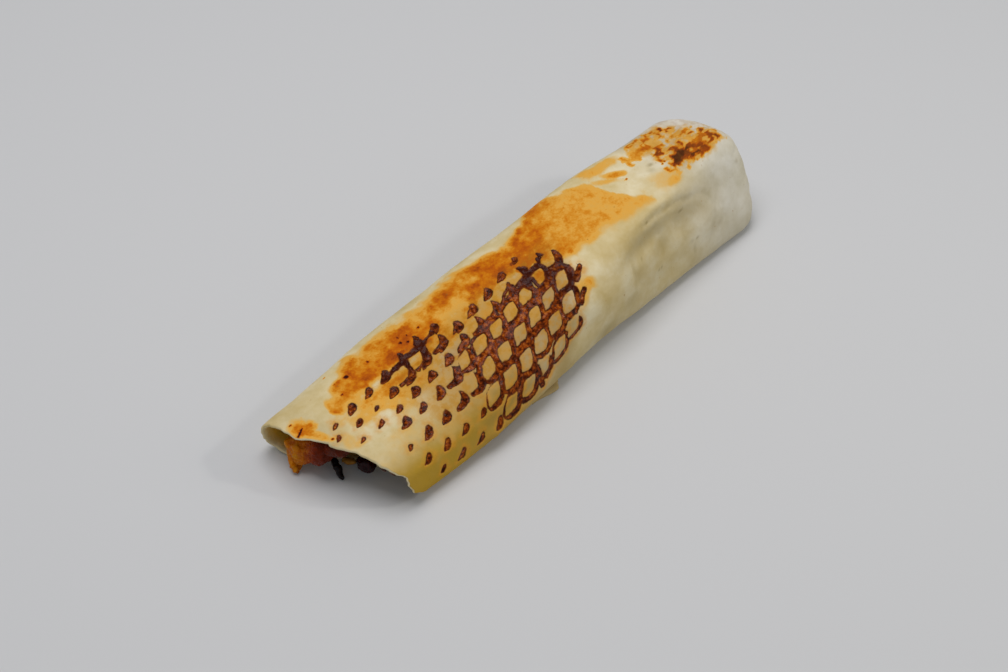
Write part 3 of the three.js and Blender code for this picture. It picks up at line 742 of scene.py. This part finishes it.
def lump(at, half, lean, rough, seed, square=2.8, fine=64):
    """A ball stretched to its half sizes, raised and sunk in soft waves."""
    draw = draw_from(seed)
    waves = []
    for _ in range(7):
        way = np.array([next(draw) - 0.5 for _ in range(3)])
        waves.append((way / np.linalg.norm(way), 2.5 + 4.5 * next(draw), 6.28 * next(draw)))
    tall = np.linspace(0, math.pi, fine // 2 + 1)[1:-1]
    round_ = np.linspace(0, 2 * math.pi, fine, endpoint=False)
    rings = np.stack([
        -np.outer(np.sin(tall), np.cos(round_)),
        np.repeat(np.cos(tall)[:, None], fine, 1),
        np.outer(np.sin(tall), np.sin(round_))], -1)
    ball = np.concatenate([[[0, 1, 0]], rings.reshape(-1, 3), [[0, -1, 0]]])
    swell = sum(np.sin(pace * ball @ way + phase) for way, pace, phase in waves) / len(waves)
    blunt = (np.abs(ball) ** square).sum(-1) ** (-1 / square)
    points = ball * (blunt * (1 + rough * swell))[:, None] * half
    for axis, angle in zip("XYZ", lean):
        points = points @ np.array(Matrix.Rotation(math.radians(angle), 3, axis)).T
    return points + at, grid_faces(len(rings), fine)


def strip(places, wide, thick, blunt, fine=28, rings=60):
    """A strip that follows a curve and tapers to both ends."""
    places = np.array(places, float)
    spans = lengths_to(places)
    t = np.linspace(0, 1, rings)
    middle = np.stack([smooth_at(t * spans[-1], spans, places[:, k]) for k in range(3)], -1)
    ahead = unit(np.gradient(middle, axis=0))
    side = unit(np.cross(ahead, STRIP_FACING))
    up = np.cross(side, ahead)
    turn = np.linspace(0, 2 * math.pi, fine, endpoint=False)
    fat = np.sin(math.pi * np.clip(t, 0.004, 0.996)) ** blunt
    loops = (middle[:, None] + side[:, None] * (0.5 * wide * fat[:, None] * np.cos(turn))[..., None]
             + up[:, None] * (0.5 * thick * fat[:, None] * np.sin(turn))[..., None])
    points = np.concatenate([middle[:1], loops.reshape(-1, 3), middle[-1:]])
    return points, grid_faces(rings, fine)


def fused(name, bodies, voxel, material, soften):
    """Bodies joined into one closed skin with soft seams."""
    points = []
    faces = []
    for body_points, body_faces in bodies:
        base = sum(len(p) for p in points)
        points.append(body_points)
        faces += [[base + i for i in face] for face in body_faces]
    piece = mesh_object(name, np.concatenate(points), faces, material)
    join = piece.modifiers.new("join", "REMESH")
    join.mode = "VOXEL"
    join.voxel_size = voxel * MM
    soft = piece.modifiers.new("soften", "SMOOTH")
    soft.iterations = soften
    soft.factor = 0.5
    for modifier in ("join", "soften"):
        with bpy.context.temp_override(object=piece):
            bpy.ops.object.modifier_apply(modifier=modifier)
    piece.data.shade_smooth()
    return piece


def vertices_of(piece):
    """A piece's points in the measure of the tables, and its normals."""
    read = np.empty((2, len(piece.data.vertices) * 3), dtype=np.float32)
    for name, numbers in zip(("co", "normal"), read):
        piece.data.vertices.foreach_get(name, numbers)
    points, normals = read.reshape(2, -1, 3).astype(float)
    return points / MM - SHIFT, normals


def reshape_piece(piece, points):
    piece.data.vertices.foreach_set("co", ((points + SHIFT) * MM).astype(np.float32).ravel())
    piece.data.update()


def under_roof(points, clear=0.25):
    """Points drawn in under the bread over the mouth."""
    angles = np.arange(0, 360, 1.0)
    ring = bread_point(np.full(angles.shape, ROOF_AT), angles, BREAD_THICK + clear)[:, 1:] - ROOF_MIDDLE
    bearing = np.degrees(np.arctan2(ring[:, 1], ring[:, 0]))
    order = np.argsort(bearing)
    offset = points[:, 1:] - ROOF_MIDDLE
    own = np.linalg.norm(offset, axis=-1) + 1e-9
    toward = np.degrees(np.arctan2(offset[:, 1], offset[:, 0]))
    limit = np.interp(toward, bearing[order], np.linalg.norm(ring, axis=-1)[order], period=360)
    drawn = np.where((offset[:, 1] > 0) & (own > limit), limit / own, 1.0)
    points = points.copy()
    points[:, 1:] = ROOF_MIDDLE + offset * drawn[:, None]
    return points


def build_chicken(material):
    """The roasted slab with its hanging point and its crusty, fibrous face."""
    bodies = [lump(*body) for body in CHICKEN_SLAB]
    bodies.append(strip(CHICKEN_POINT, wide=7.4, thick=4.4, blunt=0.7))
    piece = fused("chicken_roasted", bodies, 0.33, material, soften=22)
    points, normals = vertices_of(piece)
    crusty = step(points[:, 1], 30, 42)
    crag = noise("chicken", points)
    fibres = noise("fibres", points * [1, 0.35, 1.6])
    raised = (0.5 + 0.6 * crusty) * crag + fibres + noise("crumbs", points)
    points = under_roof(points + normals * raised[:, None])
    points[:, 2] = np.maximum(points[:, 2], 0.1)
    reshape_piece(piece, points)
    add_values(piece, "crust", crusty + 0.2 * crag)
    return piece


def build_filling(material):
    angles = np.arange(0, 360, 4.0)
    start = smooth_at(angles, *zip(*CORE_FRONT))
    rows = rows_from(start, CORE_ROWS)
    deep = BREAD_THICK + CORE_GAP
    rings = bread_point(rows, np.broadcast_to(angles, rows.shape), deep)
    middle = rings[0].mean(0)
    rings = np.concatenate([(rings[0] * 0.5 + middle * 0.5)[None], rings])
    end = roll_point(END_AT, 90.0) - [deep, 0, FLOOR_PRESS]
    core = np.concatenate([middle[None], rings.reshape(-1, 3), end[None]])
    bodies = [(core, grid_faces(len(rings), len(angles)))]
    for i, (x, y, z, size) in enumerate(CORE_LUMPS):
        half = (size, size * 1.1, size * 0.9)
        body, faces = lump((x, y, z), half, (20 * i, 35 * i, 0), rough=0.16, seed=31 + i, square=2.4,
                           fine=32)
        bodies.append((under_roof(body), faces))
    piece = fused("filling_packed", bodies, 0.9, material, soften=2)
    points, normals = vertices_of(piece)
    open_face = 1 - step(points[:, 0], 6, 14)
    sunk = open_face * (0.8 + 0.9 * noise("core", points)) * 0.6
    reshape_piece(piece, points - normals * sunk[:, None])
    return piece


def build_small(node, body, material):
    piece = mesh_object(node + "_cut", *body, material)
    points, normals = vertices_of(piece)
    reshape_piece(piece, points + normals * noise(node, points)[:, None])
    return piece


# Materials

# Colours by the share that picks them
DOUGH_NEAR = [(0.32, "#ccb57b"), (0.5, "#dac796"), (0.68, "#e7dab4")]
DOUGH_FAR = [(0.32, "#cac2a8"), (0.5, "#d9d2bd"), (0.68, "#e8e3d4")]
BAKED = [
    (0.0, "#dcc48c"), (0.14, "#dcb568"), (0.28, "#dfaa4e"), (0.42, "#e4a845"), (0.54, "#da9126"),
    (0.66, "#cf7806"), (0.77, "#bd5c02"), (0.85, "#963f06"), (0.92, "#5c1b04"), (1.0, "#340a02"),
]
RUST = [(0.37, "#2e0c02"), (0.47, "#602405"), (0.56, "#8e3d06"), (0.68, "#b8681e")]
# The inner face's yellow: partly the bread's own colour, partly painted light shining through the thin bread
INSIDE = [(0.3, "#dca40c"), (0.7, "#e8bc48")]
CHICKEN = [
    (0.12, "#4a1900"), (0.32, "#5e1a00"), (0.5, "#762400"), (0.66, "#a04400"), (0.8, "#bc6700"),
    (0.95, "#cc8610"),
]

# Tints of the dough, then of the browned bread: colour, strength, and what each fades over: a measure,
# where the tint starts, where it is full, and its shares there if not 0 and 1
GRIDDLED = [("across", -10, 2), ("across", 44, 24), ("along", 8, 30), ("sloping", 124, 111)]
DOUGH_TINTS = [
    # The first tint, yellow-brown low on the right by the mouth, is partly the bread's greasy yellow, partly
    # painted shade with yellow light bounced from below
    ("#b48b0c", 0.92, [("across", 18, 40), ("along", 80, 50)]),
    ("#a98a48", 0.6, [("across", -4, 14), ("sloping", 124, 111), ("along", 20, 50)]),
    # The third tint is painted shade: the right side darkens towards the floor
    ("#988a62", 0.32, [("across", 36, 60), ("along", 60, 100)]),
]
BROWNED_TINTS = [
    ("#8f5a1c", 0.34, GRIDDLED),
    ("#b9821a", 0.51, GRIDDLED + [("blotch", 0.46, 0.62)]),
    ("#8f5a1c", 0.32, [("across", -26, -14), ("across", 20, 12), ("along", 188, 202),
                       ("blotch", 0.38, 0.6, 0.4, 1.0)]),
]

# Moist pieces: their dark and light colour, the size of the mottling in mm, and roughness
MOIST = {
    # The packed filling's near-black is partly painted shade of the hollow under the bread behind the mouth
    "filling": ("#150603", "#3a1408", 4.0, 0.45),
    "dark onion": ("#080404", "#1c0f0d", 2.0, 0.24),
    "fry": ("#7e4c10", "#b27c2c", 2.5, 0.5),
    "beet": ("#100204", "#34070b", 2.5, 0.25),
    "sliver": ("#6b4a42", "#96766a", 2.0, 0.35),
}


class Paint:
    """A node material, with short names for its nodes."""

    def __init__(self, name):
        self.material = bpy.data.materials.new(name)
        self.material.use_nodes = True
        self.tree = self.material.node_tree
        self.tree.nodes.clear()
        self.skin = self.node("BsdfPrincipled", {})
        self.place = self.node("NewGeometry", {}).outputs["Position"]
        self.node("OutputMaterial", {"Surface": self.skin.outputs[0]})

    def node(self, kind, inputs, **settings):
        node = self.tree.nodes.new("ShaderNode" + kind)
        for name, value in settings.items():
            setattr(node, name, value)
        self.feed(node, inputs)
        return node

    def feed(self, node, inputs):
        """Each input takes another node's output, a colour code or a number."""
        for name, value in inputs.items():
            if isinstance(value, bpy.types.NodeSocket):
                self.tree.links.new(value, node.inputs[name])
            else:
                node.inputs[name].default_value = srgb(value) if isinstance(value, str) else value

    def finish(self, colour, roughness, shine=0.5):
        self.feed(self.skin, {"Base Color": colour, "Roughness": roughness, "Specular IOR Level": shine})
        return self.material

    def math(self, kind, a, b):
        return self.node("Math", {0: a, 1: b}, operation=kind).outputs[0]

    def times(self, a, b):
        return self.math("MULTIPLY", a, b)

    def sum(self, first, *others):
        """The first value, and the others each times its weight."""
        for value, weight in others:
            first = self.math("ADD", first, self.times(value, weight))
        return first

    def mix(self, share, a, b):
        return self.node("Mix", {0: share, 6: a, 7: b}, data_type="RGBA").outputs[2]

    def noise(self, size, detail=4.0, rough=0.55):
        """Noise from 0 to 1 whose lumps are about that size in mm."""
        inputs = {"Vector": self.place, "Scale": 1000.0 / size, "Detail": detail, "Roughness": rough}
        return self.node("TexNoise", inputs).outputs[0]

    def value(self, name):
        return self.node("Attribute", {}, attribute_name=name).outputs["Fac"]

    def ramp(self, share, stops):
        node = self.node("ValToRGB", {0: share})
        elements = node.color_ramp.elements
        while len(elements) < len(stops):
            elements.new(0.5)
        for element, (at, code) in zip(elements, stops):
            element.position = at
            element.color = srgb(code)
        return node.outputs[0]

    def range(self, value, low, high, first=0.0, last=1.0):
        """The first share where the value is low, the last where it is high."""
        inputs = {"Value": value, "From Min": low, "From Max": high, "To Min": first, "To Max": last}
        return self.node("MapRange", inputs, interpolation_type="SMOOTHSTEP").outputs[0]

    def tint(self, colour, measures, tints):
        """A colour with a table's tints laid over it in order."""
        for code, strength, spans in tints:
            share = strength
            for name, *span in spans:
                share = self.times(self.range(measures[name], *span), share)
            colour = self.mix(share, colour, code)
        return colour

    def bump(self, parts, mm, strength):
        """Fine relief: the weighted sum of a few noises, as high as that many mm."""
        inputs = {"Strength": strength, "Distance": mm * MM, "Height": self.sum(0.0, *parts)}
        self.feed(self.skin, {"Normal": self.node("Bump", inputs).outputs[0]})


def bread_paint():
    """Pale dough, orange browning, char, and griddle marks, rusty inside a near-black line."""
    paint = Paint("bread")
    fine = paint.noise(1.0, 3.0)
    blotch = paint.noise(3.6, 4.0, 0.62)
    broad = paint.noise(18.0, 4.0, 0.6)
    grain = paint.math("SUBTRACT", fine, 0.5)
    along = paint.value("along")
    across = paint.value("across")
    measures = {"along": along, "across": across, "sloping": paint.sum(along, (across, 0.45)),
                "blotch": blotch}
    mark = paint.sum(paint.value("mark"), (grain, 0.7))
    dough = paint.mix(paint.range(along, 165, 225), paint.ramp(broad, DOUGH_NEAR),
                      paint.ramp(broad, DOUGH_FAR))
    dough = paint.tint(dough, measures, DOUGH_TINTS)
    # Painted shade under the folds, in the creases and low on the side, mixed towards olive-brown, with a
    # few real olive specks
    dough = paint.mix(paint.value("painted_shade_and_specks"), dough, "#887440")
    halo = paint.times(paint.range(mark, -3.4, -0.1), paint.range(blotch, 0.35, 0.7, 0.2, 0.9))
    dough = paint.mix(halo, dough, "#d6942e")
    brown = paint.value("brown")
    change = paint.sum(0.0, (paint.math("SUBTRACT", blotch, 0.5), 0.95), (grain, 0.45))
    uneven = paint.times(paint.range(brown, 0.1, 0.5, 0.04, 0.62), paint.range(brown, 0.62, 0.8, 1.0, 0.35))
    level = paint.sum(brown, (change, uneven))
    colour = paint.mix(paint.range(level, 0.0, 0.3), dough, paint.ramp(level, BAKED))
    colour = paint.tint(colour, measures, BROWNED_TINTS)
    rust = paint.ramp(paint.noise(2.2, 4.0, 0.65), RUST)
    rust = paint.mix(paint.range(paint.value("black"), 0.05, 0.7, 0.0, 0.92), rust, "#360e05")
    rim = paint.mix(paint.range(blotch, 0.42, 0.6), "#360e04", "#6e320e")
    line = paint.mix(paint.range(mark, 0.2, 0.9), rim, rust)
    colour = paint.mix(paint.range(mark, -0.3, 0.25), colour, line)
    colour = paint.mix(paint.value("inner"), colour, paint.ramp(broad, INSIDE))
    freckle = paint.range(paint.noise(2.0, 2.0, 0.5), 0.72, 0.78, 0.0, 0.6)
    colour = paint.mix(freckle, colour, "#a5742c")
    paint.bump([(fine, 0.4), (blotch, 0.6)], mm=0.4, strength=0.6)
    return paint.finish(colour, paint.range(mark, -0.3, 0.6, 0.68, 0.15), shine=0.08)


def chicken_paint():
    """Roasted meat: an orange-brown crust, red-brown on the right."""
    paint = Paint("chicken")
    blotch = paint.noise(2.6, 5.0, 0.65)
    crust = paint.sum(0.0, (paint.value("crust"), 0.55), (blotch, 0.5))
    paint.bump([(paint.noise(0.8, 3.0), 0.4), (blotch, 0.6)], mm=0.5, strength=0.8)
    return paint.finish(paint.ramp(crust, CHICKEN), paint.range(blotch, 0.3, 0.7, 0.2, 0.4), shine=0.1)


def moist_paint(name):
    dark, light, size, rough = MOIST[name]
    paint = Paint(name)
    blotch = paint.noise(size, 5.0, 0.6)
    paint.bump([(paint.noise(size * 0.5, 4.0), 1.0)], mm=0.3, strength=0.6)
    return paint.finish(paint.ramp(blotch, [(0.3, dark), (0.7, light)]), rough, shine=0.16)


# Camera, floor and light

SKY = ("#e6ebf2", 0.36)
FLOOR = ("#cfcfcd", 0.85)
FLOOR_HALF = 3.0
# Area lights aimed at the middle of the floor: place and size in metres, power in watts, colour
LIGHTS = {
    "window": ((-0.05, 0.2, 1.15), (0.9, 0.7), 7.9, "#fdfbff"),
    "glint": ((0.6, -0.66, 0.72), (0.08, 0.08), 1.5, "#ffffff"),
    "fill": ((0.7, -0.9, 0.6), (0.5, 0.5), 1.2, "#fff4e4"),
}


def aim_camera():
    turn = (Matrix.Rotation(AZIMUTH, 4, "Z") @ Matrix.Rotation(math.pi / 2 - ELEVATION, 4, "X")
            @ Matrix.Rotation(ROLL, 4, "Z"))
    camera = add_object("camera", bpy.data.cameras.new("camera"))
    camera.data.lens = LENS
    camera.data.sensor_width = SENSOR
    back = Matrix.Translation((0, 0, DISTANCE * MM))
    camera.matrix_world = Matrix.Translation(LOOK_AT * MM) @ turn @ back
    bpy.context.scene.camera = camera


def light_studio():
    scene = bpy.context.scene
    scene.world = bpy.data.worlds.new("studio")
    scene.world.use_nodes = True
    sky = scene.world.node_tree.nodes["Background"]
    sky.inputs[0].default_value = srgb(SKY[0])
    sky.inputs[1].default_value = SKY[1]
    for name, (place, size, power, colour) in LIGHTS.items():
        light = add_object(name, bpy.data.lights.new(name, "AREA"))
        light.data.shape = "RECTANGLE"
        light.data.size, light.data.size_y = size
        light.data.energy = power
        light.data.color = srgb(colour)[:3]
        light.location = place
        light.rotation_euler = (-Vector(place)).to_track_quat("-Z", "Y").to_euler()
    scene.view_settings.view_transform = "Standard"


def lay_floor():
    mesh = bpy.data.meshes.new("floor")
    corners = [(x * FLOOR_HALF, y * FLOOR_HALF, 0) for x, y in ((-1, -1), (1, -1), (1, 1), (-1, 1))]
    mesh.from_pydata(corners, [], [(0, 1, 2, 3)])
    mesh.materials.append(Paint("floor").finish(*FLOOR))
    add_object("floor", mesh)


def place_piece(piece, node):
    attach(piece, "root")
    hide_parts(node)


aim_camera()
light_studio()
lay_floor()

bread_material = bread_paint()
place_piece(build_bread(bread_material), "bread")
place_piece(build_tab(bread_material), "bread")
place_piece(build_chicken(chicken_paint()), "chicken_piece")
place_piece(build_filling(moist_paint("filling")), "filling")
bodies = {node: strip(*sizes) for node, sizes in STRIPS.items()}
bodies["beet_chunk"] = lump(*BEET)
sliver = moist_paint("sliver")
for node, material, slot in (
    ("onion_strip", moist_paint("dark onion"), "dark_onion"),
    ("fry_strip", moist_paint("fry"), "fry"),
    ("beet_chunk", moist_paint("beet"), "beet"),
    ("onion_sliver", sliver, "sliver"),
    ("onion_sliver_far", sliver, "sliver"),
):
    place_piece(build_small(node, bodies[node], material), node)
